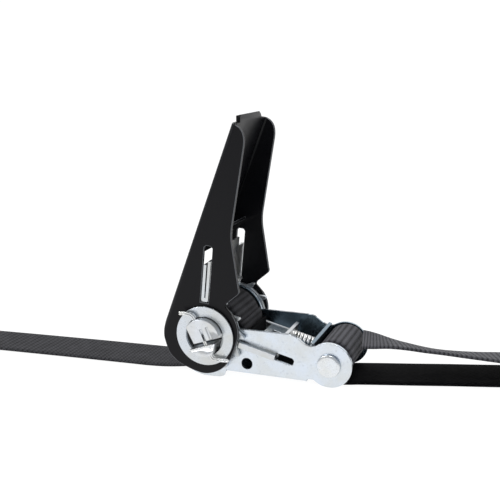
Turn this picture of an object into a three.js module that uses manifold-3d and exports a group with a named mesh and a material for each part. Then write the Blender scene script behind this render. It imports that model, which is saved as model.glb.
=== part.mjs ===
// Ratchet tie-down for 25 mm webbing, in millimetres, +Z up.
// The ratchet is drawn about the axis of its webbing reel, with X towards the strap pin, and is
// then stood on the floor. The floor is Z = 0. The front of the ratchet faces -Y.

import * as THREE from 'three';
import Module from 'manifold-3d';
import { mergeVertices } from 'three/addons/utils/BufferGeometryUtils.js';

const wasm = await Module();
wasm.setup();

const degrees = THREE.MathUtils.degToRad;

// ---------------------------------------------------------------- driving dimensions
const GAP = 0.3; // air between two pieces that touch
const WEBBING = 25; // width of the webbing
const THICK = 1.3; // thickness of one layer of webbing
const SHEET = 1.5; // thickness of the pressed steel of base and handle

// stack across the width, from the middle outwards
const BASE_INSIDE = 13.5;
const BASE_OUTSIDE = BASE_INSIDE + SHEET;
const WHEEL_INSIDE = BASE_OUTSIDE + 0.35;
const WHEEL_OUTSIDE = WHEEL_INSIDE + 1.8;
const CHEEK_INSIDE = WHEEL_OUTSIDE + 0.35;
const CHEEK_OUTSIDE = CHEEK_INSIDE + SHEET;
const RING_INSIDE = CHEEK_OUTSIDE + 0.35;
const RING_OUTSIDE = RING_INSIDE + 1.2;
const SPLIT_PIN_AT = RING_OUTSIDE + 1.7;
const REEL_HALF_LENGTH = SPLIT_PIN_AT + 1.5;

// reel
const REEL_RADIUS = 7.8;
const UPPER_FLAT = -1.5; // the two flats that face each other, from the reel's axis
const LOWER_FLAT = -3.4;
const SLOT_ANGLE = 20; // of the slot between them, in degrees from the base's length
const BEARING_RADIUS = 8.1;
const WINDING_RADIUS = 14;
const TEETH = 12;
const TIP_RADIUS = 15.8;
const ROOT_RADIUS = 13.3;
const RING_RADIUS = 12.3;
const RING_HOLE = 8.1;
const SPLIT_PIN_ANGLE = -64;
const SPLIT_PIN_RADIUS = 0.8;

// base frame
const LOBE_RADIUS = 19.2; // round end about the reel, which the base stands on
const PIN_X = 50.5;
const PIN_Z = -8;
const PIN_END_RADIUS = 9.2; // round end about the strap pin
const BASE_TOP = 2.75;
const BASE_BOTTOM = -16.07;
const WEB_START = 7.2;
const WEB_END = 41.2;

// how the ratchet stands: the reel axis over the floor, and the lean of its base
const LEAN = degrees(2);
const REEL_HEIGHT = 18.9;
const REEL_X = -20.1;

// strap pin, its sleeve and the webbing sewn round it
const PIN_RADIUS = 3;
const SLEEVE_RADIUS = 3.9;
const LOOP_X = 51.4;
const LOOP_Z = -6.2;
const LOOP_RADIUS = 7.6;

// handle, drawn lying over the base along +X with its back on top
const HANDLE_OPEN = degrees(70);
const HANDLE_BACK = 18.8;
const HANDLE_LENGTH = 84.2;
const BACK_START = 26;

// the two sliding pawls move straight towards and away from the reel axis
const DRIVE_ANGLE = degrees(15); // from the handle's length
const DRIVE_TOE = TIP_RADIUS + GAP;
const DRIVE_ASIDE = 1.7; // how far the drive pawl's middle lies beside the reel axis
const LOCK_ANGLE = degrees(-13.7); // from the base's length
const LOCK_TOE = ROOT_RADIUS + 0.4;
const LOCK_SPRING_UP = 3.9; // height of the lock spring's middle above the pawl

// webbing put away on a roll, and the two end hooks
const ROLL_CORE = 6;
const ROLL_LENGTH = 3850;
const ROLL_PITCH = 1.4;
const ROLL_RADIUS = Math.sqrt(ROLL_CORE ** 2 + ROLL_LENGTH * ROLL_PITCH / Math.PI);
const ROLL_X = 178;
const ROLL_Y = 38;
const HOOK_ROD = 2.5;
const LOAD_BAR_X = -175.5;
const FIXED_BAR_X = 194.2;
const FIXED_BAR_Y = -2.6;
const FIXED_TURN = degrees(-12);
const TIE_WIDTH = 8;
const TIE_THICK = 0.8;

// ---------------------------------------------------------------- materials
const finish = (color, roughness, metalness) => () => new THREE.MeshStandardMaterial(
  { color, roughness, metalness });
const zinc = finish(0xc9ced4, 0.32, 0.95);
const blackSteel = finish(0x1b1c1f, 0.42, 0.3);
const springSteel = finish(0xd2d4d6, 0.28, 1);
const webbing = finish(0x2c2d30, 0.85, 0);
const vinyl = finish(0x141416, 0.5, 0);

// ---------------------------------------------------------------- solids and booleans
function solid(geometry) {
  const bare = geometry.clone();
  bare.deleteAttribute('normal');
  bare.deleteAttribute('uv');
  const merged = mergeVertices(bare, 1e-4);
  const vertProperties = new Float32Array(merged.attributes.position.array);
  const triVerts = new Uint32Array(merged.index.array);
  return new wasm.Manifold(new wasm.Mesh({ numProp: 3, vertProperties, triVerts }));
}

function geometryOf(body) {
  const mesh = body.getMesh();
  const geometry = new THREE.BufferGeometry();
  geometry.setAttribute('position', new THREE.BufferAttribute(new Float32Array(mesh.vertProperties), 3));
  geometry.setIndex(new THREE.BufferAttribute(new Uint32Array(mesh.triVerts), 1));
  geometry.computeVertexNormals();
  return geometry;
}

const join = (...geometries) => geometryOf(
  geometries.map(solid).reduce((whole, piece) => whole.add(piece)));
const cut = (geometry, ...tools) => geometryOf(
  tools.map(solid).reduce((whole, tool) => whole.subtract(tool), solid(geometry)));
const common = (first, second) => geometryOf(solid(first).intersect(solid(second)));

// a shape drawn in X and Z, extruded across the width from y = from to y = to
function across(shape, from, to, curveSegments = 24) {
  return new THREE.ExtrudeGeometry(shape, { depth: to - from, bevelEnabled: false, curveSegments })
    .rotateX(Math.PI / 2).translate(0, to, 0);
}

function block(x0, x1, y0, y1, z0, z1) {
  return new THREE.BoxGeometry(x1 - x0, y1 - y0, z1 - z0)
    .translate((x0 + x1) / 2, (y0 + y1) / 2, (z0 + z1) / 2);
}

// a ring about the width axis
function washer(inner, outer, from, to, x = 0, z = 0, segments = 48) {
  const profile = [[inner, from], [outer, from], [outer, to], [inner, to], [inner, from]];
  return new THREE.LatheGeometry(profile.map(([r, y]) => new THREE.Vector2(r, y)), segments)
    .translate(x, 0, z);
}

const turned = (x, z, angle) => new THREE.Vector2(x, z).rotateAround(new THREE.Vector2(), angle);
const polar = (radius, angle) => new THREE.Vector2(
  radius * Math.cos(degrees(angle)), radius * Math.sin(degrees(angle)));

// everything inside a rounded rectangle, running along X
function roundedTunnel(x0, x1, halfWidth, top, bottom, radius) {
  const shape = new THREE.Shape();
  shape.moveTo(-halfWidth, bottom);
  shape.lineTo(halfWidth, bottom);
  shape.lineTo(halfWidth, top - radius);
  shape.absarc(halfWidth - radius, top - radius, radius, 0, Math.PI / 2, false);
  shape.absarc(-halfWidth + radius, top - radius, radius, Math.PI / 2, Math.PI, false);
  shape.closePath();
  return new THREE.ExtrudeGeometry(shape, { depth: x1 - x0, bevelEnabled: false, curveSegments: 6 })
    .rotateX(Math.PI / 2).rotateZ(Math.PI / 2).translate(x0, 0, 0);
}

// the centre line of a coil spring along +X, its turns closer together at the two ends
class Coil extends THREE.Curve {
  constructor(x0, x1, radius, turns) {
    super();
    Object.assign(this, { x0, x1, radius, turns });
  }

  getPoint(t, target = new THREE.Vector3()) {
    const angle = t * this.turns * 2 * Math.PI;
    const x = THREE.MathUtils.lerp(this.x0, this.x1, THREE.MathUtils.smoothstep(t, -0.12, 1.12));
    return target.set(x, this.radius * Math.cos(angle), this.radius * Math.sin(angle));
  }
}

function circleShape(radius, sides) {
  const corners = [...Array(sides).keys()].map((i) => polar(radius, i * 360 / sides));
  return new THREE.Shape(corners);
}

const rodAlong = (extrudePath, radius, sides, steps) => new THREE.ExtrudeGeometry(
  circleShape(radius, sides), { steps, bevelEnabled: false, extrudePath });

const coilSpring = (x0, x1, radius, wire, turns) => rodAlong(
  new Coil(x0 + wire, x1 - wire, radius, turns), wire, 7, turns * 12);

// ---------------------------------------------------------------- scene groups
const part = new THREE.Group();
const ratchet = new THREE.Group();
const handle = new THREE.Group();
const drive = new THREE.Group();
const lock = new THREE.Group();
ratchet.rotation.y = LEAN;
ratchet.position.set(REEL_X, 0, REEL_HEIGHT);
handle.rotation.y = -HANDLE_OPEN;
drive.rotation.y = -DRIVE_ANGLE;
lock.rotation.y = -LOCK_ANGLE;
handle.add(drive);
ratchet.add(handle, lock);
part.add(ratchet);

function addPiece(group, name, geometry, material) {
  const mesh = new THREE.Mesh(geometry, material);
  mesh.name = name;
  group.add(mesh);
}

// a point of the leaning ratchet, given on the floor's axes
function standing(x, z, y = 0) {
  return new THREE.Vector3(
    x * Math.cos(LEAN) + z * Math.sin(LEAN) + REEL_X, y,
    -x * Math.sin(LEAN) + z * Math.cos(LEAN) + REEL_HEIGHT);
}

// ---------------------------------------------------------------- base frame
// One U-shaped pressing: two side plates, the web under them, and a wall that the lock spring
// pushes on. Both round ends are ground flat where they stand on the floor.
function basePlate() {
  const down = -90 + THREE.MathUtils.radToDeg(LEAN);
  const lobeFlat = THREE.MathUtils.radToDeg(Math.acos(REEL_HEIGHT / LOBE_RADIUS));
  const pinHeight = standing(PIN_X, PIN_Z).z;
  const pinFlat = THREE.MathUtils.radToDeg(Math.acos(pinHeight / PIN_END_RADIUS));
  const shape = new THREE.Shape();
  shape.moveTo(12.5, BASE_TOP);
  shape.absarc(0, 0, 12.8, degrees(12.4), degrees(140), false);
  shape.absarc(0, 0, LOBE_RADIUS, degrees(168), degrees(360 + down - lobeFlat), false);
  shape.absarc(0, 0, LOBE_RADIUS, degrees(360 + down + lobeFlat), degrees(288.5), false);
  shape.lineTo(6.9, BASE_BOTTOM);
  shape.lineTo(WEB_END, BASE_BOTTOM);
  shape.quadraticCurveTo(WEB_END + 0.1, -14.7, 42.6, -14.7);
  shape.lineTo(44.2, -14.7);
  shape.absarc(PIN_X, PIN_Z, PIN_END_RADIUS, degrees(227), degrees(360 + down - pinFlat), false);
  shape.absarc(PIN_X, PIN_Z, PIN_END_RADIUS, degrees(360 + down + pinFlat), degrees(360 + 129), false);
  shape.splineThru([[42.6, -1.15], [40.6, -0.55], [37.6, 1.5], [35.3, 2.5], [32.5, BASE_TOP]]
    .map(([x, z]) => new THREE.Vector2(x, z)));
  shape.closePath();
  const bore = new THREE.Path();
  bore.absarc(0, 0, BEARING_RADIUS, 0, 2 * Math.PI, true);
  const pinHole = new THREE.Path();
  pinHole.absarc(PIN_X, PIN_Z, PIN_RADIUS + GAP, 0, 2 * Math.PI, true);
  const spareHole = new THREE.Path();
  spareHole.absarc(16.2, -11.6, 2.35, 0, 2 * Math.PI, true);
  const slotEnds = [[13.3, -1.55], [13.3, 1.55], [36.2, 1.55], [37, 0.8], [37, -0.8], [36.2, -1.55]];
  const pawlSlot = new THREE.Path(slotEnds.map(([x, z]) => turned(x, z, LOCK_ANGLE)));
  shape.holes.push(bore, pinHole, spareHole, pawlSlot);
  return shape;
}

const BASE_BITE = BASE_INSIDE + 0.5; // how far the web and the wall reach into the side plates
const lockWall = block(41.3, 42.8, -BASE_BITE, BASE_BITE, -2.3, 10.4).rotateY(-LOCK_ANGLE);
const baseBody = join(
  across(basePlate(), -BASE_OUTSIDE, -BASE_INSIDE, 10),
  across(basePlate(), BASE_INSIDE, BASE_OUTSIDE, 10),
  block(WEB_START, WEB_END, -BASE_BITE, BASE_BITE, BASE_BOTTOM, BASE_BOTTOM + SHEET),
  lockWall);
// what the two outside bends under the base take away from square corners
const bendRelief = [-1, 1].map((side) => {
  const face = side * (BASE_OUTSIDE + 0.04);
  const under = BASE_BOTTOM - 0.04;
  const shape = new THREE.Shape();
  shape.moveTo(side * (BASE_OUTSIDE + 1), BASE_BOTTOM - 1);
  shape.lineTo(side * (BASE_OUTSIDE - 1.6), BASE_BOTTOM - 1);
  shape.lineTo(side * (BASE_OUTSIDE - 1.6), under);
  shape.quadraticCurveTo(face, under, face, BASE_BOTTOM + 1.6);
  shape.lineTo(side * (BASE_OUTSIDE + 1), BASE_BOTTOM + 1.6);
  shape.closePath();
  return new THREE.ExtrudeGeometry(
    shape, { depth: WEB_END - WEB_START, bevelEnabled: false, curveSegments: 5 })
    .rotateX(Math.PI / 2).rotateZ(Math.PI / 2).translate(WEB_START, 0, 0);
});
addPiece(ratchet, 'base_frame', cut(baseBody, ...bendRelief), zinc());

// ---------------------------------------------------------------- strap pin
// A headed rivet through both plates, with a loose sleeve that the sewn webbing turns round.
const pinProfile = [
  [0, -BASE_OUTSIDE - 2], [3.7, -BASE_OUTSIDE - 2], [4.7, -BASE_OUTSIDE - 1.4], [4.7, -BASE_OUTSIDE - GAP],
  [PIN_RADIUS, -BASE_OUTSIDE - GAP], [PIN_RADIUS, BASE_OUTSIDE + GAP], [4.4, BASE_OUTSIDE + GAP],
  [4.1, BASE_OUTSIDE + 1.3], [3, BASE_OUTSIDE + 1.9], [0, BASE_OUTSIDE + 1.9],
].map(([r, y]) => new THREE.Vector2(r, y));
addPiece(ratchet, 'strap_pin', new THREE.LatheGeometry(pinProfile, 40).translate(PIN_X, 0, PIN_Z), zinc());
addPiece(ratchet, 'pin_sleeve',
  washer(PIN_RADIUS + GAP, SLEEVE_RADIUS, -BASE_INSIDE + 0.5, BASE_INSIDE - 0.5, PIN_X, PIN_Z, 36), zinc());

// ---------------------------------------------------------------- reel
// Two bars, each rather less or more than a half-round, with the webbing slot between their
// flats. A ratchet wheel sits outside each base plate, and a ring and a split pin hold the
// handle on. The wheels grip the bars, so their holes follow the bars' outlines.
function reelBar(corners, from, to, room) {
  const outline = new THREE.Shape(corners.map(([x, z]) => new THREE.Vector2(x, z)));
  const round = new THREE.CylinderGeometry(REEL_RADIUS + room, REEL_RADIUS + room, to - from, 40)
    .translate(0, (from + to) / 2, 0);
  return common(round, across(outline, from - 1, to + 1)).rotateY(-degrees(SLOT_ANGLE));
}

// the corners reach past the round, which cuts them off
function upperBar(from, to, room = 0) {
  const flat = UPPER_FLAT - room;
  return reelBar([[-4.1 - room, flat], [12, flat], [12, 12], [-5.8 - room, 12]], from, to, room);
}

function lowerBar(from, to, room = 0) {
  const flat = LOWER_FLAT + room;
  return reelBar([[-12, flat], [-12, -12], [-0.9 + room, -12], [5.2 + room, flat]], from, to, room);
}

const ENDS = [-REEL_HALF_LENGTH, REEL_HALF_LENGTH];
const pinHoles = [-1, 1].map((side) => new THREE.CylinderGeometry(1.1, 1.1, 40, 16)
  .rotateZ(Math.PI / 2).rotateY(-degrees(SPLIT_PIN_ANGLE)).translate(0, side * SPLIT_PIN_AT, 0));
// two staking grooves in each end of the upper bar
const grooves = ENDS.flatMap((end) => [[0.7, 1], [3.3, 2.2]].map(([x, z]) => block(
  -3, 3, end - 0.6, end + 0.6, -0.5, 0.5).rotateY(degrees(67)).translate(x, 0, z)));
addPiece(ratchet, 'reel_half_upper', cut(upperBar(...ENDS), ...pinHoles, ...grooves), zinc());
addPiece(ratchet, 'reel_half_lower', cut(lowerBar(...ENDS), ...pinHoles), zinc());

function wheelShape() {
  const corners = [];
  for (let tooth = 0; tooth < TEETH; tooth += 1) {
    const at = tooth * 360 / TEETH;
    const root = [-20, -11.5, -3.2].map((angle) => polar(ROOT_RADIUS, at + angle));
    const tip = [-1.8, 0.6].map((angle) => polar(TIP_RADIUS, at + angle));
    corners.push(...root, polar(TIP_RADIUS - 0.25, at - 2.7), ...tip, polar(TIP_RADIUS - 0.4, at + 2));
  }
  return new THREE.Shape(corners);
}

// the two ends, along the width, of something that lies between two distances from the middle
const faces = (side, inside, outside) => (side > 0 ? [inside, outside] : [-outside, -inside]);
for (const [name, side] of [['near', -1], ['far', 1]]) {
  const [from, to] = faces(side, WHEEL_INSIDE, WHEEL_OUTSIDE);
  addPiece(ratchet, `ratchet_wheel_${name}`, cut(across(wheelShape(), from, to),
    upperBar(from - 1, to + 1, GAP), lowerBar(from - 1, to + 1, GAP)), zinc());
  addPiece(ratchet, `retaining_ring_${name}`,
    washer(RING_HOLE, RING_RADIUS, ...faces(side, RING_INSIDE, RING_OUTSIDE)), zinc());
  addPiece(ratchet, `split_pin_${name}`, splitPin(side), springSteel());
}

// a wire pin straight through the reel, with both ends bent level outside it
function splitPin(side) {
  const way = polar(7.4, SPLIT_PIN_ANGLE);
  const path = new THREE.CatmullRomCurve3([
    [-10.2, 9.1], [-6.6, 9.2], [-4.6, 8.6], [-way.x, -way.y], [0, 0],
    [way.x, way.y], [4.3, -8.3], [6, -8.7], [10.6, -8.5],
  ].map(([x, z]) => new THREE.Vector3(x, 0, z)), false, 'centripetal');
  return rodAlong(path, SPLIT_PIN_RADIUS, 8, 28).translate(0, side * SPLIT_PIN_AT, 0);
}

// The wound turns, with the stretch of webbing that passes through the reel's slot.
const turns = washer(REEL_RADIUS + GAP, WINDING_RADIUS, -WEBBING / 2, WEBBING / 2);
const slotReach = REEL_RADIUS + GAP;
const slotMiddle = (UPPER_FLAT + LOWER_FLAT) / 2;
const throughSlot = block(-slotReach, slotReach, -WEBBING / 2, WEBBING / 2,
  slotMiddle - THICK / 2, slotMiddle + THICK / 2).rotateY(-degrees(SLOT_ANGLE));
addPiece(ratchet, 'webbing_winding', join(turns, throughSlot), webbing());

// ---------------------------------------------------------------- handle
// One pressing: two cheeks that turn on the reel, a back that joins them, a lip to pull on and a
// folded seat for the pawl spring.
function cheek() {
  const shape = new THREE.Shape();
  shape.moveTo(HANDLE_LENGTH, HANDLE_BACK);
  shape.lineTo(0, HANDLE_BACK);
  shape.absarc(0, 0, HANDLE_BACK, degrees(90), degrees(143), false);
  shape.splineThru([[-16.6, 6.5], [-16.7, -1], [-15.2, -6.3], [-11, -10.8], [-5.5, -12.9], [-0.6, -13.2]]
    .map(([u, w]) => new THREE.Vector2(u, w)));
  shape.lineTo(4.5, -13);
  shape.quadraticCurveTo(9.5, -12, 12.4, -8.1);
  shape.quadraticCurveTo(13.8, -5.2, 14.6, -3.6);
  shape.quadraticCurveTo(15.6, -3.2, 16.8, -4);
  shape.lineTo(21.6, -6.7);
  shape.quadraticCurveTo(23, -7.3, 23.9, -6.4);
  shape.lineTo(38.6, 1.7);
  shape.quadraticCurveTo(42.6, 4.1, 47.5, 5);
  shape.lineTo(77.6, 10.8);
  shape.quadraticCurveTo(HANDLE_LENGTH, 12.2, HANDLE_LENGTH, 17.2);
  shape.closePath();
  const bore = new THREE.Path();
  bore.absarc(0, 0, BEARING_RADIUS, 0, 2 * Math.PI, true);
  const slotCorners = [[13.4, -1.8], [13.4, 1.8], [36.2, 1.8], [37, 1], [37, -1], [36.2, -1.8]];
  const slot = new THREE.Path(slotCorners.map(([x, z]) => turned(x, z + DRIVE_ASIDE, DRIVE_ANGLE)));
  shape.holes.push(bore, slot);
  return shape;
}

function handleFrame() {
  const back = HANDLE_BACK;
  const under = HANDLE_BACK - SHEET;
  const bite = CHEEK_INSIDE + 0.5;
  const lip = new THREE.Shape([[79, back], [79, under], [84.6, under], [87, back - 0.2],
    [86.1, back + 1.1], [84, back]].map(([u, w]) => new THREE.Vector2(u, w)));
  // seen from behind, the lip's outer corners are round
  const lipFace = new THREE.Shape([[79, -12.6], [84.4, -12.6], [86, -12], [86.9, -10.6], [87, -9.6],
    [87, 9.6], [86.9, 10.6], [86, 12], [84.4, 12.6], [79, 12.6]].map(([u, y]) => new THREE.Vector2(u, y)));
  const lipRoom = new THREE.ExtrudeGeometry(lipFace, { depth: 6, bevelEnabled: false })
    .translate(0, 0, back - 3);
  const seat = block(41.3, 42.8, -bite, bite, 0.2, 8.2).rotateY(-DRIVE_ANGLE);
  const pressed = join(
    across(cheek(), -CHEEK_OUTSIDE, -CHEEK_INSIDE, 9),
    across(cheek(), CHEEK_INSIDE, CHEEK_OUTSIDE, 9),
    block(BACK_START, HANDLE_LENGTH, -bite, bite, under, back),
    seat);
  const rounded = common(pressed, roundedTunnel(-30, 100, CHEEK_OUTSIDE, back, -30, 2.4));
  // the inside of the bend between back and cheeks, which keeps the sheet's thickness
  const bend = cut(
    roundedTunnel(BACK_START, HANDLE_LENGTH - 0.5, CHEEK_OUTSIDE - 0.3, back - 0.3, back - 4, 2.2),
    roundedTunnel(BACK_START - 1, HANDLE_LENGTH, CHEEK_INSIDE, under, back - 5, 1));
  const turnedLip = common(across(lip, -CHEEK_OUTSIDE, CHEEK_OUTSIDE), lipRoom);
  return join(rounded, turnedLip, bend);
}
addPiece(handle, 'handle_frame', handleFrame(), blackSteel());

// ---------------------------------------------------------------- drive pawl
// A folded plate whose lugs slide in the cheek slots. Its toe works on the ratchet wheels.
function drivePawl() {
  const fold = (toe, shortLeaf, longLeaf) => {
    const shape = new THREE.Shape();
    shape.moveTo(longLeaf, -1.5);
    shape.lineTo(longLeaf, -0.25);
    shape.lineTo(toe + 1.6, -0.25);
    shape.lineTo(toe + 1.6, 0.25);
    shape.lineTo(shortLeaf, 0.25);
    shape.lineTo(shortLeaf, 1.5);
    shape.lineTo(toe + 0.5, 1.5);
    shape.lineTo(toe, 1);
    shape.lineTo(toe, -1);
    shape.lineTo(toe + 0.5, -1.5);
    shape.closePath();
    return shape;
  };
  const lugs = [-1, 1].map((side) => across(
    fold(13.8, 29.2, 30.8), ...faces(side, WHEEL_OUTSIDE + GAP, CHEEK_OUTSIDE - 0.1)));
  const middle = across(fold(DRIVE_TOE, 29.2, 30.8), -CHEEK_INSIDE - 0.2, CHEEK_INSIDE + 0.2);
  const pull = block(30, 34.6, -12.5, 12.5, -1.5, -0.25);
  const tongue = block(34, 37.6, -1.2, 1.2, -1.25, -0.25);
  const foot = block(DRIVE_TOE, DRIVE_TOE + 1.4, -12.4, 12.4, -4.3, -1.2);
  return join(middle, ...lugs, pull, tongue, foot).translate(0, 0, DRIVE_ASIDE);
}
addPiece(drive, 'drive_pawl', drivePawl(), zinc());
addPiece(drive, 'drive_pawl_spring',
  coilSpring(34.9, 41, 2.4, 0.35, 4).translate(0, 0, DRIVE_ASIDE + 0.2), springSteel());

// ---------------------------------------------------------------- lock pawl
// A flat plate whose ears pass through the base plates into the teeth of both wheels. Its back
// is turned up, and the spring stands on the turned-up lip, above the plate.
function lockPawl() {
  const ear = BASE_OUTSIDE + 2.3;
  const body = block(17.6, 29.8, -BASE_INSIDE + GAP, BASE_INSIDE - GAP, -1.2, 1.2);
  const ears = block(18, 29.5, -ear, ear, -1.2, 1.2);
  const toes = [-1, 1].map((side) => block(
    LOCK_TOE, 20, ...faces(side, BASE_INSIDE - 0.7, ear), -1.2, 1.2));
  const lip = block(28.3, 29.8, -BASE_INSIDE + 2.5, BASE_INSIDE - 2.5, 0.8, 6.8);
  const tongue = block(29.3, 33.5, -1.4, 1.4, LOCK_SPRING_UP - 0.75, LOCK_SPRING_UP + 0.75);
  const window = block(20.5, 26, -7, 7, -2, 2);
  return cut(join(body, ears, ...toes, lip, tongue), window);
}
addPiece(lock, 'lock_pawl', lockPawl(), zinc());
addPiece(lock, 'lock_pawl_spring',
  coilSpring(30.1, 41, 2.9, 0.45, 7).translate(0, 0, LOCK_SPRING_UP), springSteel());

// ---------------------------------------------------------------- webbing
// The sewn loop round the pin sleeve, drawn in the ratchet's frame.
function pinLoop() {
  const shape = new THREE.Shape();
  shape.absarc(LOOP_X, LOOP_Z, LOOP_RADIUS, 0, 2 * Math.PI, false);
  const hole = new THREE.Path();
  hole.absarc(PIN_X, PIN_Z, SLEEVE_RADIUS + GAP, 0, 2 * Math.PI, true);
  shape.holes.push(hole);
  return across(shape, -WEBBING / 2 + 0.1, WEBBING / 2 - 0.1, 16);
}
addPiece(ratchet, 'fixed_strap_loop', pinLoop(), webbing());

// A strap along a hand-laid route. Each point gives x, y, z of the middle of the webbing, and the
// fourth number is how far it is rolled about its length, in degrees, far edge down.
function strap(points, thick) {
  const middle = new THREE.CatmullRomCurve3(points.map(([x, y, z]) => new THREE.Vector3(x, y, z)));
  const rolls = new THREE.CatmullRomCurve3(
    points.map((point) => new THREE.Vector3(point[3] ?? 0, 0, 0)));
  const steps = points.length * 2;
  const positions = [];
  for (let i = 0; i <= steps; i += 1) {
    const here = middle.getPoint(i / steps);
    const along = middle.getTangent(i / steps);
    const roll = degrees(rolls.getPoint(i / steps).x);
    const level = new THREE.Vector3(-along.y, along.x, 0);
    if (Math.hypot(along.x, along.y) < 0.2) level.set(0, 1, 0);
    level.normalize();
    if (level.y < 0) level.negate();
    const side = level.applyAxisAngle(along, along.x > 0 ? -roll : roll);
    const up = new THREE.Vector3().crossVectors(along, side).normalize();
    if (along.x < 0 && Math.abs(along.x) > 0.2) up.negate();
    for (const [a, b] of [[-1, -1], [1, -1], [1, 1], [-1, 1]]) {
      const edge = here.clone().addScaledVector(side, a * WEBBING / 2);
      positions.push(...edge.addScaledVector(up, b * thick / 2).toArray());
    }
  }
  const index = [];
  for (let i = 0; i < steps; i += 1) {
    for (let k = 0; k < 4; k += 1) {
      const a = i * 4 + k;
      const b = i * 4 + (k + 1) % 4;
      index.push(a, a + 4, b, b, a + 4, b + 4);
    }
  }
  const last = steps * 4;
  index.push(0, 1, 2, 0, 2, 3, last, last + 2, last + 1, last, last + 3, last + 2);
  const geometry = new THREE.BufferGeometry();
  geometry.setAttribute('position', new THREE.Float32BufferAttribute(positions, 3));
  geometry.setIndex(index);
  const body = solid(geometry);
  if (body.volume() < 0) {
    for (let i = 0; i < index.length; i += 3) {
      [index[i + 1], index[i + 2]] = [index[i + 2], index[i + 1]];
    }
    geometry.setIndex(index);
  }
  geometry.computeVertexNormals();
  return geometry;
}

const onRatchet = (x, z, roll = 0) => [...standing(x, z).toArray(), roll];
const FLAT = THICK / 2 + 0.05; // height of the middle of webbing that lies on the floor

// The load strap leaves the underside of the winding and lies on the floor to its hook.
const loadRoute = [
  onRatchet(2.6, -14.75), onRatchet(-6, -16.25), onRatchet(-14, -17.6), onRatchet(-21, -18.6),
  [-50, 0, FLAT], [-59, 0.1, FLAT], [-68, 0.2, FLAT], [-78, 0.3, FLAT], [-88, 0.4, FLAT],
  [-99, 0.4, FLAT], [-111, 0.4, FLAT], [-124, 0.4, FLAT], [-137, 0.3, FLAT], [-149, 0.2, FLAT],
  [-160, 0.1, FLAT], [-170.3, 0, FLAT + 0.3],
];
addPiece(part, 'load_strap_run', strap(loadRoute, THICK), webbing());

// The tail comes down the right of the winding, passes over the base's web and under the pin,
// and lies on the floor to the roll.
const tailRoute = [
  onRatchet(14.95, 0.5), onRatchet(15, -3.5), onRatchet(15.9, -7.6), onRatchet(18.2, -11),
  onRatchet(21.8, -13.05), onRatchet(26.5, -13.55), onRatchet(34, -13.55), onRatchet(40.6, -13.6),
  onRatchet(44.2, -14.3), onRatchet(47.6, -15.55), onRatchet(50.8, -16.15), onRatchet(54, -16.25),
  [37.5, 1.4, 0.72], [48, 3.9, FLAT], [60, 6.5, FLAT], [72.5, 9.4, FLAT], [84, 11.8, FLAT],
  [95, 14.2, FLAT], [108, 17, FLAT], [122, 20.5, FLAT], [136, 26.5, FLAT], [149, 32.5, FLAT],
  [158, 36.6, FLAT], [165.5, 38, FLAT],
];
addPiece(part, 'tail_strap_run', strap(tailRoute, THICK), webbing());

// The fixed strap: two layers sewn together, slack, from the pin loop down to its hook.
const fixedRoute = [
  [40, 0.1, 16, 1], [44.6, 1, 15.5, 4], [50, 2.2, 14.7, 9], [57, 4, 13.2, 13], [64, 5.6, 11.8, 15],
  [71, 7.3, 10.7, 16], [78, 8.9, 9.9, 15], [86, 10.7, 9.2, 13], [94, 12.4, 8.6, 10], [102, 13.4, 7.4, 6],
  [111, 13.8, 5.5, 2], [121, 13.2, 3.8, 0], [132, 11.4, 3.2, 0], [144, 8.8, 2.9, 0],
  [156, 6, 2.1, 0], [168, 3.4, 1.3, 0], [179, 1, 0.8, 0], [189, -1.2, 1, 0],
];
addPiece(part, 'fixed_strap_run', strap(fixedRoute, THICK), webbing());

// ---------------------------------------------------------------- end loops and hooks
// Each hook is a bent rod with a straight bar for the webbing, dipped in vinyl over its hook end.
function endLoop(x, y, z, turn) {
  return washer(HOOK_ROD + GAP, HOOK_ROD + GAP + THICK, -WEBBING / 2 + 0.2, WEBBING / 2 - 0.2, 0, 0, 32)
    .rotateZ(turn).translate(x, y, z);
}

function hookRod(x, y, z, turn) {
  const path = new THREE.CatmullRomCurve3([
    [19.5, -6.2], [12, -10.8], [5.4, -15.6], [1.6, -16.8], [0, -14.4], [0, -7], [0, 7], [0, 14.4],
    [1.6, 16.8], [5.4, 15.6], [12, 9.6], [19, 4], [25, 0.8], [31, 0], [40, 0], [48, -0.5], [54, -4.5],
    [55.6, -11], [52, -16.6], [45.5, -18.2], [40.5, -15.5],
  ].map(([a, b]) => new THREE.Vector3(a, b, 0)), false, 'centripetal');
  return rodAlong(path, HOOK_ROD, 8, 44).rotateZ(turn).translate(x, y, z);
}
const HOOK_LIFT = HOOK_ROD + GAP + THICK + 0.05;
addPiece(part, 'load_hook', hookRod(LOAD_BAR_X, 0, HOOK_LIFT, Math.PI), vinyl());
addPiece(part, 'load_hook_loop', endLoop(LOAD_BAR_X, 0, HOOK_LIFT, Math.PI), webbing());
addPiece(part, 'fixed_hook', hookRod(FIXED_BAR_X, FIXED_BAR_Y, HOOK_LIFT, FIXED_TURN), vinyl());
addPiece(part, 'fixed_hook_loop', endLoop(FIXED_BAR_X, FIXED_BAR_Y, HOOK_LIFT, FIXED_TURN), webbing());

// ---------------------------------------------------------------- stored roll
// The rest of the load strap, rolled up round an open core and held by a tie.
const rollHeight = ROLL_RADIUS + 0.05;
const rollNear = ROLL_Y - WEBBING / 2;
const rollFar = ROLL_Y + WEBBING / 2;
addPiece(part, 'tail_roll',
  washer(ROLL_CORE, ROLL_RADIUS, rollNear, rollFar, ROLL_X, rollHeight, 48), webbing());

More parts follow.
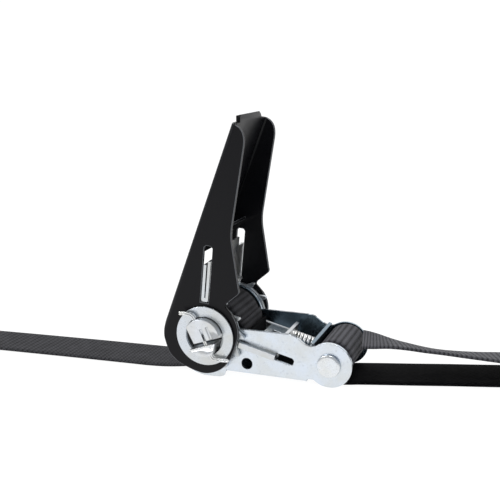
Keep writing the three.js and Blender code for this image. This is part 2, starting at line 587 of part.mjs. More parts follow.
function rollTie() {
  const x0 = ROLL_X - TIE_WIDTH / 2;
  const x1 = ROLL_X + TIE_WIDTH / 2;
  const inner = rollHeight + 4;
  const outer = rollHeight + ROLL_RADIUS + GAP;
  return cut(
    block(x0, x1, rollNear - GAP - TIE_THICK, rollFar + GAP + TIE_THICK,
      inner - TIE_THICK, outer + TIE_THICK),
    block(x0 - 1, x1 + 1, rollNear - GAP, rollFar + GAP, inner, outer));
}
addPiece(part, 'roll_tie', rollTie(), vinyl());

export default part;
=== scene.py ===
"""A ratchet tie-down: black pressed handle, zinc-plated base, and black 25 mm webbing with its hooks."""
import math

import bmesh
import bpy
from mathutils import Matrix, Vector


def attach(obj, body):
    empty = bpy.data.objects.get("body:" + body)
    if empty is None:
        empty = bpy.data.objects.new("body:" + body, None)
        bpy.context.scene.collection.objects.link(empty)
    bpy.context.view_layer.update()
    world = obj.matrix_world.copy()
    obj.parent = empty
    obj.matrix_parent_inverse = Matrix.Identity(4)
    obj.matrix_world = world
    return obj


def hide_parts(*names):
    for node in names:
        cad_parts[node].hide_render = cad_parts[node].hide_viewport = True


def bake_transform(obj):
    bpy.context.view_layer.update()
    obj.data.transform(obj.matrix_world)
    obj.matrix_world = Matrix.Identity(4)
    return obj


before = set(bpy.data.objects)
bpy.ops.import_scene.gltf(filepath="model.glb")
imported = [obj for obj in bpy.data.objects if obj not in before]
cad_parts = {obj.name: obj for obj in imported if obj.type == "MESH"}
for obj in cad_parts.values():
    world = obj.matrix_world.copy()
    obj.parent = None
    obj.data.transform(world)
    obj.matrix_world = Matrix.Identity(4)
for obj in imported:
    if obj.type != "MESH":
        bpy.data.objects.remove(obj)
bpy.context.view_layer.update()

MM = 0.001

# ---------------------------------------------------------------- camera
# It looks down a little at the near side of the open ratchet, from the right of its middle.
camera_data = bpy.data.cameras.new("camera")
camera_data.sensor_width = 36
camera_data.lens = 61.2
camera_data.clip_start = 0.01
camera = bpy.data.objects.new("camera", camera_data)
camera_right = Vector((0.93842, 0.34394, -0.03277))
camera_up = Vector((-0.04452, 0.21443, 0.97572))
camera_back = camera_right.cross(camera_up)
camera.matrix_world = Matrix.Translation(Vector((112.99, -319.90, 126.35)) * MM) @ Matrix(
    (camera_right, camera_up, camera_back)).transposed().to_4x4()
bpy.context.scene.collection.objects.link(camera)
bpy.context.scene.camera = camera

# ---------------------------------------------------------------- load strap
# Woven polyester webbing, 25 mm wide and 1.3 mm thick, with a soft rounded edge. It leaves the
# winding under the reel and lies on the floor as far as its hook.
WEBBING = 25 * MM
THICK = 1.3 * MM
REEL = Vector((-20.1, 0, 18.9)) * MM
LEAN = math.radians(2)


def on_ratchet(x, z, roll=0):
    """A point of the leaning ratchet, given from its reel in millimetres, on the floor's axes."""
    return (x * math.cos(LEAN) + z * math.sin(LEAN) - 20.1, 0,
            z * math.cos(LEAN) - x * math.sin(LEAN) + 18.9, roll)


class Value:
    """A number that varies over a surface, which Python's own signs work on."""

    def __init__(self, finish, socket):
        self.finish = finish
        self.socket = socket

    def sum_with(self, operation, first, second):
        return self.finish.add("Math", {"operation": operation}, {0: first, 1: second})

    def __add__(self, other):
        return self.sum_with("ADD", self, other)

    def __mul__(self, other):
        return self.sum_with("MULTIPLY", self, other)

    def __pow__(self, other):
        return self.sum_with("POWER", self, other)

    __radd__ = __add__
    __rmul__ = __mul__

    def wave(self, pitch, phase=0.0):
        """0 to 1 and back once in every pitch."""
        turns = self * (2 * math.pi / pitch) + phase
        return self.finish.add("Math", {"operation": "SINE"}, {0: turns}) * 0.5 + 0.5

    def step(self, pitch):
        """The number of whole pitches below it."""
        return self.finish.add("Math", {"operation": "FLOOR"}, {0: self * (1 / pitch)})


class Finish:
    """A material and its nodes."""

    def __init__(self, name, rough, metal=0.0, **constants):
        self.material = bpy.data.materials.new(name)
        self.material.use_nodes = True
        self.tree = self.material.node_tree
        self.surface = self.tree.nodes["Principled BSDF"]
        self.surface.inputs["Roughness"].default_value = rough
        self.surface.inputs["Metallic"].default_value = metal
        for socket, value in constants.items():
            self.surface.inputs[socket.replace("_", " ")].default_value = value

    def add(self, kind, settings, inputs, output=0):
        node = self.tree.nodes.new("ShaderNode" + kind)
        for key, value in settings.items():
            setattr(node, key, value)
        for key, value in inputs.items():
            self.feed(node.inputs[key], value)
        return Value(self, node.outputs[output])

    def feed(self, socket, value):
        if isinstance(value, Value):
            self.tree.links.new(value.socket, socket)
        else:
            socket.default_value = value

    def paint(self, socket, value):
        self.feed(self.surface.inputs[socket], value)

    def place(self, scale=(1, 1, 1)):
        """Object coordinates, scaled along each axis."""
        where = self.add("TexCoord", {}, {}, "Object")
        return self.add("Mapping", {"vector_type": "POINT"}, {"Vector": where, "Scale": scale})

    def axis(self, where, index):
        """One of the three parts of a place: 0, 1 or 2."""
        return self.add("SeparateXYZ", {}, {0: where}, index)

    def noise(self, where, size, detail=3.0):
        """0 to 1, in patches of the given size."""
        return self.add("TexNoise", {}, {"Vector": where, "Scale": 1 / size, "Detail": detail})

    def ramp(self, value, low, high, to_low=0.0, to_high=1.0):
        return self.add("MapRange", {"clamp": True}, {
            "Value": value, "From Min": low, "From Max": high, "To Min": to_low, "To Max": to_high})

    def mix(self, factor, first, second):
        node = self.tree.nodes.new("ShaderNodeMix")
        node.data_type = "RGBA"
        self.feed(node.inputs["Factor"], factor)
        self.feed(node.inputs[6], first)
        self.feed(node.inputs[7], second)
        return Value(self, node.outputs[2])

    def bump(self, height, distance, strength=1.0):
        self.paint("Normal", self.add("Bump", {}, {
            "Height": height, "Distance": distance, "Strength": strength}))


def shade(red, green, blue):
    """A colour from the 0 to 255 that a screen shows."""
    return tuple((c / 255 / 12.92) if c < 10.3 else ((c / 255 + 0.055) / 1.055) ** 2.4
                 for c in (red, green, blue)) + (1.0,)


YARN = 0.9 * MM
RIB_PITCH = 2.2 * MM


def woven(name, dark, light, rib, gleam=0.2):
    """Webbing. Its UV map is in metres, along and across. rib is how strongly it is ribbed."""
    finish = Finish(name, 0.82, Sheen_Weight=0.4 * gleam, Sheen_Roughness=0.5,
                    Specular_IOR_Level=gleam)
    where = finish.add("UVMap", {"uv_map": "lie"}, {})
    along = finish.axis(where, 0)
    across = finish.axis(where, 1)
    column = across.step(YARN)
    ridge = across.wave(YARN)
    over = along.wave(2 * YARN, column * math.pi)
    weave = ridge * 0.35 + over * 0.65
    ribs = along.wave(RIB_PITCH) ** 0.7
    height = weave * (1 - rib) + ribs * rib + ridge * (0.25 * rib)
    patches = finish.noise(finish.place(), 5 * MM, 4.0)
    fluff = finish.noise(finish.place(), 0.35 * MM, 2.0)
    # Colour follows the weave's height: its hollows are painted dark and its crowns and ribs light, as
    # painted shade and highlight; the patches and fluff add random tone.
    weave_shade_and_tone = finish.ramp(height * 0.6 + patches * 0.4 + fluff * 0.3, 0.35, 1.0)
    finish.paint("Base Color", finish.mix(weave_shade_and_tone, dark, light))
    finish.paint("Roughness", finish.ramp(height, 0, 1, 0.95, 0.72))
    finish.bump(height + fluff * 0.25, 0.3 * MM, 0.8)
    return finish.material


def between(points, t):
    """The place a share t of the way through evenly numbered points, on a smooth curve."""
    at = min(max(t, 0.0), 1.0) * (len(points) - 1)
    i = min(int(at), len(points) - 2)
    s = at - i
    b, c = points[i], points[i + 1]
    a = points[i - 1] if i > 0 else [2 * p - q for p, q in zip(b, c)]
    d = points[i + 2] if i + 2 < len(points) else [2 * q - p for p, q in zip(b, c)]
    return [0.5 * (2 * q + (r - p) * s + (2 * p - 5 * q + 4 * r - w) * s * s
                   + (3 * q - p - 3 * r + w) * s ** 3) for p, q, r, w in zip(a, b, c, d)]


def add_piece(name, mesh_source, body, slot, *materials):
    """A new object from a bmesh, riding on a body if one is named."""
    mesh = bpy.data.meshes.new(name)
    mesh_source.to_mesh(mesh)
    mesh_source.free()
    for material in materials:
        mesh.materials.append(material)
    piece = bpy.data.objects.new(name, mesh)
    bpy.context.scene.collection.objects.link(piece)
    if body:
        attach(piece, body)
    return piece


def weave_along(place, length, steps, width=WEBBING, thick=THICK, columns=14, closed=False):
    """A bmesh of webbing. place(t) gives its middle, and the directions of its width and face."""
    around = 2 * columns
    bm = bmesh.new()
    bmesh.ops.create_grid(bm, x_segments=steps, y_segments=around, size=1)
    lie = bm.loops.layers.uv.new("lie")
    girth = 2 * (width + thick)
    for face in bm.faces:
        face.smooth = True
        for loop in face.loops:
            x, y, _ = loop.vert.co
            loop[lie].uv = ((x + 1) / 2 * length, (y + 1) / 2 * girth)
    frames = {}
    for vert in bm.verts:
        t = round((vert.co.x + 1) / 2 * steps)
        turn = vert.co.y * math.pi
        if t not in frames:
            frames[t] = place(t / steps)
        middle, side, face_way = frames[t]
        even = abs(turn) / math.pi
        edge = min(even, 1 - even) * width
        # flat as far as its edges, which are rounded
        rise = math.copysign(min(1.0, (edge / (0.45 * thick)) ** 0.5), turn) * thick / 2
        vert.co = middle + side * ((0.5 - even) * width) + face_way * rise
    bmesh.ops.remove_doubles(bm, verts=bm.verts, dist=1e-6)
    if not closed:
        rims = [edge for edge in bm.edges if edge.is_boundary]
        bmesh.ops.holes_fill(bm, edges=rims, sides=0)
    bmesh.ops.recalc_face_normals(bm, faces=bm.faces)
    return bm


def along_route(route):
    """place(t) for webbing on a route of x, y, z in millimetres and roll in degrees, far edge down."""
    def place(t):
        x, y, z, roll = between(route, t)
        here = Vector((x, y, z)) * MM
        ahead = Vector(between(route, t + 0.002)[:3]) - Vector(between(route, t - 0.002)[:3])
        ahead.normalize()
        side = Vector((-ahead.y, ahead.x, 0)) if ahead.xy.length > 0.2 else Vector((0, 1, 0))
        side.normalize()
        if side.y < 0:
            side.negate()
        turn = -roll if ahead.x > 0 else roll
        side = Matrix.Rotation(math.radians(turn), 3, ahead) @ side
        return here, side, ahead.cross(side).normalized()
    return place


def route_points(route, count=120):
    return [Vector(between(route, i / count)[:3]) * MM for i in range(count + 1)]


def lay_strap(name, route, material, **facts):
    """A strap along a route, in place of the CAD node of its run."""
    path = route_points(route)
    length = sum((b - a).length for a, b in zip(path, path[1:]))
    bm = weave_along(along_route(route), length, round(length / (1.2 * MM)))
    strap = add_piece(name, bm, "base", "webbing", material)
    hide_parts(name + "_run")
    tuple(path[0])


FLAT = 0.7  # height of the middle of webbing that lies on the floor, in millimetres
grey_webbing = woven("grey_webbing", shade(12, 12, 13), shade(66, 66, 70), 0.4, 0.12)
load_route = [
    on_ratchet(2.6, -14.75), on_ratchet(-6, -16.25), on_ratchet(-14, -17.6), on_ratchet(-21, -18.6),
    (-50, 0, FLAT, 0), (-59, 0.1, FLAT, 0), (-68, 0.2, FLAT, 0), (-78, 0.3, FLAT, 0),
    (-88, 0.4, FLAT, 0), (-99, 0.4, FLAT, 0), (-111, 0.4, FLAT, 0), (-124, 0.4, FLAT, 0),
    (-137, 0.3, FLAT, 0), (-149, 0.2, FLAT, 0), (-160, 0.1, FLAT, 0), (-170.3, 0, FLAT + 0.3, 0),
]
lay_strap("load_strap", load_route, grey_webbing, far_end="fitting",
          with_pieces=[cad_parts["load_hook"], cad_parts["load_hook_loop"]])

# ---------------------------------------------------------------- tail of the load strap
# The same webbing, painted far darker for the shade it lies in: down from the winding, over the base's
# web, under the strap pin, and along the floor to the roll.
# A darker copy of the grey webbing: painted shade.
shade_painted_webbing = woven("shade_painted_webbing", shade(3, 3, 4), shade(26, 26, 29), 0.0, 0.05)
tail_route = [
    on_ratchet(14.95, 0.5), on_ratchet(15, -3.5), on_ratchet(15.9, -7.6), on_ratchet(18.2, -11),
    on_ratchet(21.8, -13.05), on_ratchet(26.5, -13.55), on_ratchet(34, -13.55),
    on_ratchet(40.6, -13.6), on_ratchet(44.2, -14.3), on_ratchet(47.6, -15.55),
    on_ratchet(50.8, -16.15), on_ratchet(54, -16.25), (37.5, 1.4, 0.72, 0), (48, 3.9, FLAT, 0),
    (60, 6.5, FLAT, 0), (72.5, 9.4, FLAT, 0), (84, 11.8, FLAT, 0), (95, 14.2, FLAT, 0),
    (108, 17, FLAT, 0), (122, 20.5, FLAT, 0), (136, 26.5, FLAT, 0), (149, 32.5, FLAT, 0),
    (158, 36.6, FLAT, 0), (165.5, 38, FLAT, 0),
]
lay_strap("tail_strap", tail_route, shade_painted_webbing, far_end="object",
          with_pieces=[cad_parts["tail_roll"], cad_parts["roll_tie"]])

# ---------------------------------------------------------------- fixed strap
# A short strap of the same width, ribbed across. It droops slack from the strap pin, rolled a
# little, and ends at its own hook.
ribbed_webbing = woven("ribbed_webbing", shade(12, 12, 14), shade(82, 82, 88), 0.75)
fixed_route = [
    (40, 0.1, 16, 1), (44.6, 1, 15.5, 4), (50, 2.2, 14.7, 9), (57, 4, 13.2, 13), (64, 5.6, 11.8, 15),
    (71, 7.3, 10.7, 16), (78, 8.9, 9.9, 15), (86, 10.7, 9.2, 13), (94, 12.4, 8.6, 10),
    (102, 13.4, 7.4, 6), (111, 13.8, 5.5, 2), (121, 13.2, 3.8, 0), (132, 11.4, 3.2, 0),
    (144, 8.8, 2.9, 0), (156, 6, 2.1, 0), (168, 3.4, 1.3, 0), (179, 1, 0.8, 0), (189, -1.2, 1, 0),
]
lay_strap("fixed_strap", fixed_route, ribbed_webbing, far_end="fitting",
          with_pieces=[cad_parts["fixed_hook"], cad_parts["fixed_hook_loop"]])

# ---------------------------------------------------------------- base frame
# A U-shaped pressing in 1.5 mm steel, plated in bright zinc with a faint blue in it. Its cut
# edges are tumbled round, and the rolled sheet shows as fine lines along it.
INNER_FACE = 13.7 * MM  # just past the side plates' inner faces, from the middle of the width


def plated(name, tint, rough=0.3, grain=(1, 1, 14), inner=None):
    """Zinc plate: a fine grain from the rolling, soft cloudy patches and small dull spots. inner is
    a darker colour painted on all that lies between the side plates, as painted shade and dark
    reflection."""
    finish = Finish(name, rough, 1.0)
    lines = finish.noise(finish.place(grain), 1.6 * MM, 5.0)
    clouds = finish.noise(finish.place(), 6 * MM, 3.0)
    specks = finish.ramp(finish.noise(finish.place(), 0.9 * MM, 2.0), 0.62, 0.72)
    dull = tuple(0.72 * c for c in tint[:3]) + (1.0,)
    warm = (tint[0] * 0.98, tint[1] * 0.94, tint[2] * 0.86, 1.0)
    cloudy = finish.mix(finish.ramp(clouds, 0.35, 0.7), tint, warm)
    colour = finish.mix(specks * 0.5 + lines * 0.25, cloudy, dull)
    # Between the side plates the colour is painted darker and bluer: painted shade and dark reflection.
    if inner:
        aside = finish.add("Math", {"operation": "ABSOLUTE"}, {0: finish.axis(finish.place(), 1)})
        between_plates_shade = finish.ramp(aside, INNER_FACE, INNER_FACE + 0.4 * MM, 1.0, 0.0)
        colour = finish.mix(between_plates_shade, colour, inner)
    finish.paint("Base Color", colour)
    wear = lines * 0.6 + clouds * 0.4
    finish.paint("Roughness", finish.ramp(wear, 0.3, 0.7, rough * 0.75, rough * 1.5))
    finish.bump(lines + specks * 0.5, 0.05 * MM, 0.5)
    return finish.material


def finished(name, node, body, slot, edge, *materials, edge_material=-1):
    """A node's own shape with its sharp edges rounded, in place of the plain node."""
    bm = bmesh.new()
    bm.from_mesh(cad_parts[node].data)
    for face in bm.faces:
        face.smooth = True
        face.material_index = 0
    bmesh.ops.remove_doubles(bm, verts=bm.verts, dist=2e-6)
    bmesh.ops.dissolve_limit(bm, angle_limit=math.radians(1), verts=bm.verts, edges=bm.edges)
    low = Vector([min(vert.co[i] for vert in bm.verts) for i in range(3)])
    high = Vector([max(vert.co[i] for vert in bm.verts) for i in range(3)])
    sharp = []
    for side in bm.edges:
        near = [other.calc_length() for vert in side.verts for other in vert.link_edges]
        if side.is_manifold and min(near) > 1.15 * edge and side.calc_face_angle() > math.radians(34):
            sharp.append(side)
    bmesh.ops.bevel(bm, geom=sharp, offset=edge, offset_type="OFFSET", affect="EDGES", segments=2,
                    profile=0.5, clamp_overlap=False, material=edge_material)
    for vert in bm.verts:
        vert.co = [min(max(at, small), large) for at, small, large in zip(vert.co, low, high)]
    for face in bm.faces:
        face.smooth = True
    piece = add_piece(name, bm, body, slot, *materials)
    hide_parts(node)
    piece.modifiers.new("even", "WEIGHTED_NORMAL").keep_sharp = True
    return piece


# Its dark blue tint inside the channel is painted shade and dark reflection.
blue_zinc = plated("blue_zinc", (0.70, 0.76, 0.84, 1), 0.24, (14, 1, 14), inner=(0.2, 0.27, 0.33, 1))
finished("base_channel", "base_frame", "base", "zinc_plate", 0.22 * MM, blue_zinc)

# ---------------------------------------------------------------- strap pin and sleeve
# A turned rivet through both side plates, with its head on the near side, and the loose tube
# on it that the fixed strap turns round.
turned_zinc = plated("turned_zinc", (0.76, 0.80, 0.85, 1), 0.24, (1, 8, 1))
finished("strap_rivet", "strap_pin", "base", "pin_zinc", 0.3 * MM, turned_zinc)
finished("rivet_sleeve", "pin_sleeve", "base", "pin_zinc", 0.25 * MM, turned_zinc)

# ---------------------------------------------------------------- reel
# Two bars that grip the webbing between their flats, sawn off square at the ends.
reel_zinc = plated("reel_zinc", (0.70, 0.73, 0.77, 1), 0.32, (1, 10, 1))
finished("reel_bar_upper", "reel_half_upper", "reel", "reel_zinc", 0.3 * MM, reel_zinc)
finished("reel_bar_lower", "reel_half_lower", "reel", "reel_zinc", 0.3 * MM, reel_zinc)

# ---------------------------------------------------------------- ratchet wheels
# Two stamped toothed wheels, one outside each side plate.
wheel_zinc = plated("wheel_zinc", (0.62, 0.66, 0.70, 1), 0.34)
finished("toothed_wheel_near", "ratchet_wheel_near", "reel", "wheel_zinc", 0.2 * MM, wheel_zinc)
finished("toothed_wheel_far", "ratchet_wheel_far", "reel", "wheel_zinc", 0.2 * MM, wheel_zinc)

# ---------------------------------------------------------------- handle
# One pressing in 1.5 mm steel with a satin black coat. Its rounded cut edges are painted grey, a painted
# highlight for the light they catch.


def coated(name, colour, rough, orange_peel=0.5):
    """A satin coat with a slight orange peel, cloudy gloss and fine dust-like pits."""
    finish = Finish(name, rough, 0.0, Specular_IOR_Level=0.18)
    peel = finish.noise(finish.place(), 0.9 * MM, 3.0)
    clouds = finish.noise(finish.place(), 12 * MM, 3.0)
    worn = finish.ramp(finish.noise(finish.place((1, 1, 5)), 2 * MM, 6.0), 0.66, 0.78)
    lighter = tuple(1.6 * c + 0.004 for c in colour[:3]) + (1.0,)
    finish.paint("Base Color", finish.mix(clouds * 0.5 + worn * 0.35, colour, lighter))
    finish.paint("Roughness", finish.ramp(clouds, 0.3, 0.7, rough * 0.85, rough * 1.2))
    finish.bump(peel, 0.04 * MM, orange_peel)
    return finish.material


satin_black = coated("satin_black", shade(8, 8, 12), 0.34)
# Grey for the bevelled edges: a painted highlight.
grey_edge_highlight = coated("grey_edge_highlight", shade(92, 94, 98), 0.3)
finished("handle_pressing", "handle_frame", "handle", "black_steel", 0.22 * MM,
         satin_black, grey_edge_highlight, edge_material=1)

# ---------------------------------------------------------------- retaining rings
# A flat zinc-plated ring outside each cheek keeps the handle on the reel.
ring_zinc = plated("ring_zinc", (0.64, 0.68, 0.73, 1), 0.25)
finished("ring_near", "retaining_ring_near", "reel", "ring_zinc", 0.2 * MM, ring_zinc)
finished("ring_far", "retaining_ring_far", "reel", "ring_zinc", 0.2 * MM, ring_zinc)

# ---------------------------------------------------------------- pawls
# The drive pawl is a folded plate that slides in the handle's slots. The lock pawl is a flat
# plate with an ear through each side plate and a turned-up back.
pawl_zinc = plated("pawl_zinc", (0.66, 0.69, 0.72, 1), 0.3)
finished("drive_pawl_plate", "drive_pawl", "drive_pawl", "pawl_zinc", 0.15 * MM, pawl_zinc)
finished("lock_pawl_plate", "lock_pawl", "lock_pawl", "pawl_zinc", 0.15 * MM, pawl_zinc)

# ---------------------------------------------------------------- pawl springs
# Open coils of bright wire. Each pushes its pawl towards the wheels, and shortens as the pawl
# slides back towards the spring's seat.
bright_wire = plated("bright_wire", (0.78, 0.80, 0.82, 1), 0.2)


def wire(name, body, slot, material, points, radius, resolution=5):
    """Round wire along points, made a mesh."""
    data = bpy.data.curves.new(name, "CURVE")
    data.dimensions = "3D"
    data.bevel_depth = 1.0
    data.bevel_resolution = resolution
    data.use_fill_caps = True
    line = data.splines.new("POLY")
    line.points.add(len(points) - 1)
    for point, place, thick in zip(line.points, points, radius):
        point.co = (*place, 1)
        point.radius = thick
    guide = bpy.data.objects.new(name + "_guide", data)
    bpy.context.scene.collection.objects.link(guide)
    bm = bmesh.new()
    bm.from_mesh(guide.to_mesh())
    bpy.data.objects.remove(guide)
    bmesh.ops.remove_doubles(bm, verts=bm.verts, dist=1e-7)
    bmesh.ops.recalc_face_normals(bm, faces=bm.faces)
    for face in bm.faces:
        face.smooth = len(face.verts) < 6
    return add_piece(name, bm, body, slot, material)


def coil(name, node, angle, start, end, radius, thick, turns, drop):
    """A spring that points out from the reel at an angle, in degrees from the floor."""
    out = Vector((math.cos(math.radians(angle)), 0, math.sin(math.radians(angle))))
    up = Vector((-out.z, 0, out.x))
    points = []
    count = turns * 28
    for i in range(count + 1):
        t = i / count
        eased = min(max((t + 0.12) / 1.24, 0), 1)
        run = start + (end - start) * eased * eased * (3 - 2 * eased)
        turn = t * turns * 2 * math.pi
        points.append(REEL + out * run * MM + up * (radius * math.cos(turn) + drop) * MM
                      + Vector((0, -radius * math.sin(turn), 0)) * MM)
    spring = wire(name, None, "spring_steel", bright_wire, points, [thick * MM] * len(points))
    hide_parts(node)
    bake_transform(spring)


coil("drive_spring", "drive_pawl_spring", 83, 35.3, 40.6, 2.4, 0.35, 4, 1.9)
coil("lock_spring", "lock_pawl_spring", -15.7, 30.6, 40.5, 2.9, 0.45, 7, 3.9)

# ---------------------------------------------------------------- split pins
# A wire pin of two legs side by side goes straight through each end of the reel. Its ends are bent
# level outside the reel, so that it can't fall out.
LEG = 0.4  # half the thickness of a leg, in millimetres
SPLIT_PIN_AT = 22.25 * MM


def split_pin(name, node, side):
    steep = math.radians(-64)
    way = (7.4 * math.cos(steep), 7.4 * math.sin(steep))
    line = [(-10.2, 9.1), (-6.6, 9.2), (-4.6, 8.6), (-way[0], -way[1]), (0, 0), way, (4.3, -8.3),
            (6, -8.7), (10.6, -8.5)]
    last = 80
    middle = [Vector(between(line, i / last)) for i in range(last + 1)]
    asides = []
    for i in range(last + 1):
        ahead = (middle[min(i + 1, last)] - middle[max(i - 1, 0)]).normalized()
        asides.append(Vector((-ahead.y, ahead.x)) * LEG)
    there = [at + aside for at, aside in zip(middle, asides)]
    turn = middle[last] + (middle[last] - middle[last - 1]).normalized() * 0.45
    back = [at - aside for at, aside in zip(reversed(middle), reversed(asides))]
    out = Vector((0, side * SPLIT_PIN_AT, 0))
    points = [Vector(on_ratchet(at.x, at.y)[:3]) * MM + out for at in [*there, turn, *back]]
    pin = wire(name, "reel", "pin_steel", bright_wire, points, [LEG * MM] * len(points), 4)
    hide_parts(node)


split_pin("folded_pin_near", "split_pin_near", -1)
split_pin("folded_pin_far", "split_pin_far", 1)

# ---------------------------------------------------------------- winding on the reel
# Four turns of the load strap, one on the other, and the stretch through the reel's slot.
SLOT_ANGLE = 18  # degrees from the floor
SLOT_LENGTH = 16.4
SLOT_DROP = 2.45  # from the reel's axis down to the middle of the slot


def spiral(inner, outer, turns, centre, start):
    """place(t) and the length of webbing wound about the width axis."""
    def place(t):
        turn = math.radians(start) + t * turns * 2 * math.pi
        out = Vector((math.cos(turn), 0, math.sin(turn)))
        radius = (inner + (outer - inner) * t + wobble(turn, t)) * MM
        return centre + out * radius, Vector((0, 1, 0)), out

    def wobble(turn, t):
        return 0.06 * math.sin(3 * turn + 9 * t) * min(1, 8 * t * (1 - t))
    return place, math.pi * (inner + outer) * turns * MM


def wound(name, body, material, place, length, steps, thick=1.16 * MM):
    """Webbing that follows place(t), a little narrower than the free strap."""
    bm = weave_along(place, length, steps, WEBBING - 0.3 * MM, thick, 8)
    return add_piece(name, bm, body, "webbing", material)


wound_webbing = woven("wound_webbing", shade(5, 5, 6), shade(62, 62, 66), 0.6, 0.12)
winding_place, winding_length = spiral(8.65, 13.3, 4, REEL, SLOT_ANGLE)
winding = wound("reel_winding", "reel", wound_webbing, winding_place, winding_length, 4 * 56,
                thick=1.1 * MM)
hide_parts("webbing_winding")


def through_slot(t):
    out = Vector((math.cos(math.radians(SLOT_ANGLE)), 0, math.sin(math.radians(SLOT_ANGLE))))
    up = Vector((-out.z, 0, out.x))
    return REEL + out * SLOT_LENGTH * (t - 0.5) * MM - up * (SLOT_DROP * MM), Vector((0, 1, 0)), up


# The stretch in the reel's slot takes the same darker copy, as painted shade.
wound("slot_webbing", "reel", shade_painted_webbing, through_slot, SLOT_LENGTH * MM, 12)

# ---------------------------------------------------------------- loop round the strap pin
# The fixed strap is turned round the sleeve and sewn back on itself, in three thicknesses here.
PIN = Vector(on_ratchet(50.5, -8)[:3]) * MM
LOOP = Vector(on_ratchet(51.4, -6.2)[:3]) * MM


def ring_of_webbing(name, body, material, centre, radius, turn=0.0, thick=THICK, replaced=None):
    """One closed turn of webbing about a bar. turn is the bar's heading on the floor."""
    bar = Vector((-math.sin(turn), math.cos(turn), 0))
    ahead = Vector((math.cos(turn), math.sin(turn), 0))

    def place(t):
        angle = t * 2 * math.pi
        out = ahead * math.cos(angle) + Vector((0, 0, math.sin(angle)))
        return centre + out * radius, bar, out
    bm = weave_along(place, 2 * math.pi * radius, 64, WEBBING - 0.3 * MM, thick, closed=True)
    ring = add_piece(name, bm, body, "webbing", material)
    if replaced:
        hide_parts(replaced)
    return ring


for layer, (name, share) in enumerate((("pin_loop_inner", 0.0), ("pin_loop_middle", 0.5),
                                       ("pin_loop_outer", 1.0))):
    ring_of_webbing(name, "base", ribbed_webbing, PIN.lerp(LOOP, 0.1 + 0.9 * share),
                    (4.75 + 2.25 * share) * MM, thick=1.1 * MM,
                    replaced="fixed_strap_loop" if layer == 2 else None)

# ---------------------------------------------------------------- end hooks and their loops
# Each hook is 4.3 mm steel rod bent to an eye for the webbing, with its hook end dipped in vinyl.
dipped_vinyl = coated("dipped_vinyl", shade(16, 16, 18), 0.38, 0.35)
bare_rod = plated("bare_rod", (0.72, 0.75, 0.79, 1), 0.28)
HOOK_LINE = [
    (19.5, -6.2), (12, -10.8), (5.4, -15.6), (1.6, -16.8), (0, -14.4), (0, -7), (0, 7), (0, 14.4),
    (1.6, 16.8), (5.4, 15.6), (12, 9.6), (19, 4), (25, 0.8), (31, 0), (40, 0), (48, -0.5),
    (54, -4.5), (55.6, -11), (52, -16.6), (45.5, -18.2), (40.5, -15.5),
]
HOOK_LIFT = 4.15


def end_hook(name, node, x, y, turn):
    heading = Matrix.Rotation(turn, 3, "Z")
    centre = Vector((x, y, HOOK_LIFT)) * MM
    count = 240
    line = [between(HOOK_LINE, i / count) for i in range(count + 1)]
    points = [centre + heading @ Vector((a, b, 0)) * MM for a, b in line]
    thick = []
    for i in range(count + 1):
        share = i / count
        dipped = min(max((share - 0.52) / 0.015, 0), 1)
        radius = 2.15 + 0.3 * dipped
        end = min(share, 1 - share) * 9
        thick.append(radius * MM * (1 if end >= 0.2 else math.sqrt(max(0.02, 1 - (1 - end / 0.2) ** 2))))
    hook = wire(name, "base", "hook_vinyl", bare_rod, points, thick, 6)
    hook.data.materials.append(dipped_vinyl)
    shank = centre + heading @ Vector((22, 0, 0)) * MM
    forward = heading @ Vector((1, 0, 0))
    for face in hook.data.polygons:
        if (face.center - shank).dot(forward) > 0:
            face.material_index = 1
    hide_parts(node)


end_hook("load_end_hook", "load_hook", -175.5, 0, math.pi)
end_hook("fixed_end_hook", "fixed_hook", 194.2, -2.6, math.radians(-12))
ring_of_webbing("load_end_loop", "base", grey_webbing, Vector((-175.5, 0, HOOK_LIFT)) * MM,
                3.45 * MM, math.pi, replaced="load_hook_loop")
ring_of_webbing("fixed_end_loop", "base", ribbed_webbing, Vector((194.2, -2.6, HOOK_LIFT)) * MM,
                3.45 * MM, math.radians(-12), replaced="fixed_hook_loop")

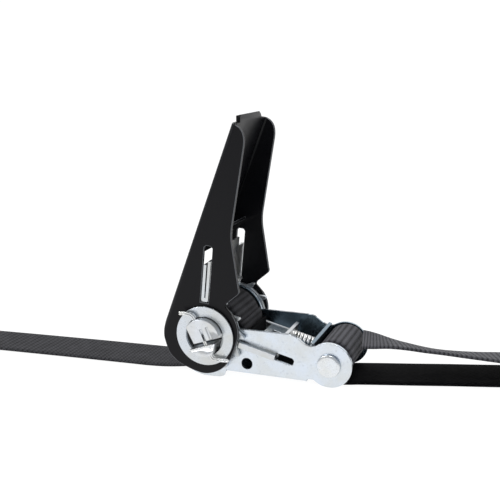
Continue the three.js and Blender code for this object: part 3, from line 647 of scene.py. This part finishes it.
# ---------------------------------------------------------------- stored roll and its band
# The rest of the load strap, rolled up on edge round an open core, with a rubber band round it.
ROLL_RADIUS = 41.85
ROLL = Vector((178, 38, ROLL_RADIUS + 0.05)) * MM
roll_place, roll_length = spiral(6.6, ROLL_RADIUS - 0.7, 25.5, ROLL, -90)
roll = wound("strap_roll", "base", grey_webbing, roll_place, roll_length, 25 * 52, thick=1.25 * MM)
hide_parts("tail_roll")
black_rubber = coated("black_rubber", shade(22, 22, 23), 0.6, 0.8)
finished("roll_band", "roll_tie", "base", "tie_rubber", 0.3 * MM, black_rubber)

# ---------------------------------------------------------------- floor and light
# A white sweep that glows, and two soft boxes above it.


FLOOR_DEPTH = 4.2
CURVE = 0.8


def sweep_of_paper():
    """A level floor that curves up into a wall behind the object."""
    bm = bmesh.new()
    bmesh.ops.create_grid(bm, x_segments=2, y_segments=60, size=1)
    for vert in bm.verts:
        run = (vert.co.y + 1) * 4.0
        bend = min(max(run - FLOOR_DEPTH, 0) / CURVE, math.pi / 2)
        rise = max(run - FLOOR_DEPTH - CURVE * math.pi / 2, 0)
        depth = min(run, FLOOR_DEPTH) - 2.4
        vert.co = Vector((vert.co.x * 5, depth + CURVE * math.sin(bend),
                          CURVE * (1 - math.cos(bend)) + rise))
    for face in bm.faces:
        face.smooth = True
    mesh = bpy.data.meshes.new("paper")
    bm.to_mesh(mesh)
    bm.free()
    paper = Finish("paper", 0.9, 0.0, Emission_Strength=0.97, Specular_IOR_Level=0.0)
    paper.paint("Base Color", (0.12, 0.12, 0.12, 1))
    paper.paint("Emission Color", (1, 1, 1, 1))
    mesh.materials.append(paper.material)
    floor = bpy.data.objects.new("paper", mesh)
    bpy.context.scene.collection.objects.link(floor)


sweep_of_paper()


def soft_box(name, at, size, power, aim=(0, 0, 0.04)):
    data = bpy.data.lights.new(name, "AREA")
    data.shape = "RECTANGLE"
    data.size, data.size_y = size
    data.energy = power
    lamp = bpy.data.objects.new(name, data)
    lamp.location = at
    lamp.rotation_euler = (Vector(aim) - Vector(at)).to_track_quat("-Z", "Y").to_euler()
    bpy.context.scene.collection.objects.link(lamp)


soft_box("box_left", (-0.7, -0.45, 0.8), (0.5, 0.5), 5)
soft_box("box_top", (0.1, 0.25, 1.1), (0.6, 0.6), 5)
world = bpy.data.worlds.new("studio")
world.use_nodes = True
world.node_tree.nodes["Background"].inputs[0].default_value = (0.95, 0.97, 1.0, 1)
world.node_tree.nodes["Background"].inputs[1].default_value = 0.5
bpy.context.scene.world = world
bpy.context.scene.view_settings.view_transform = "Standard"
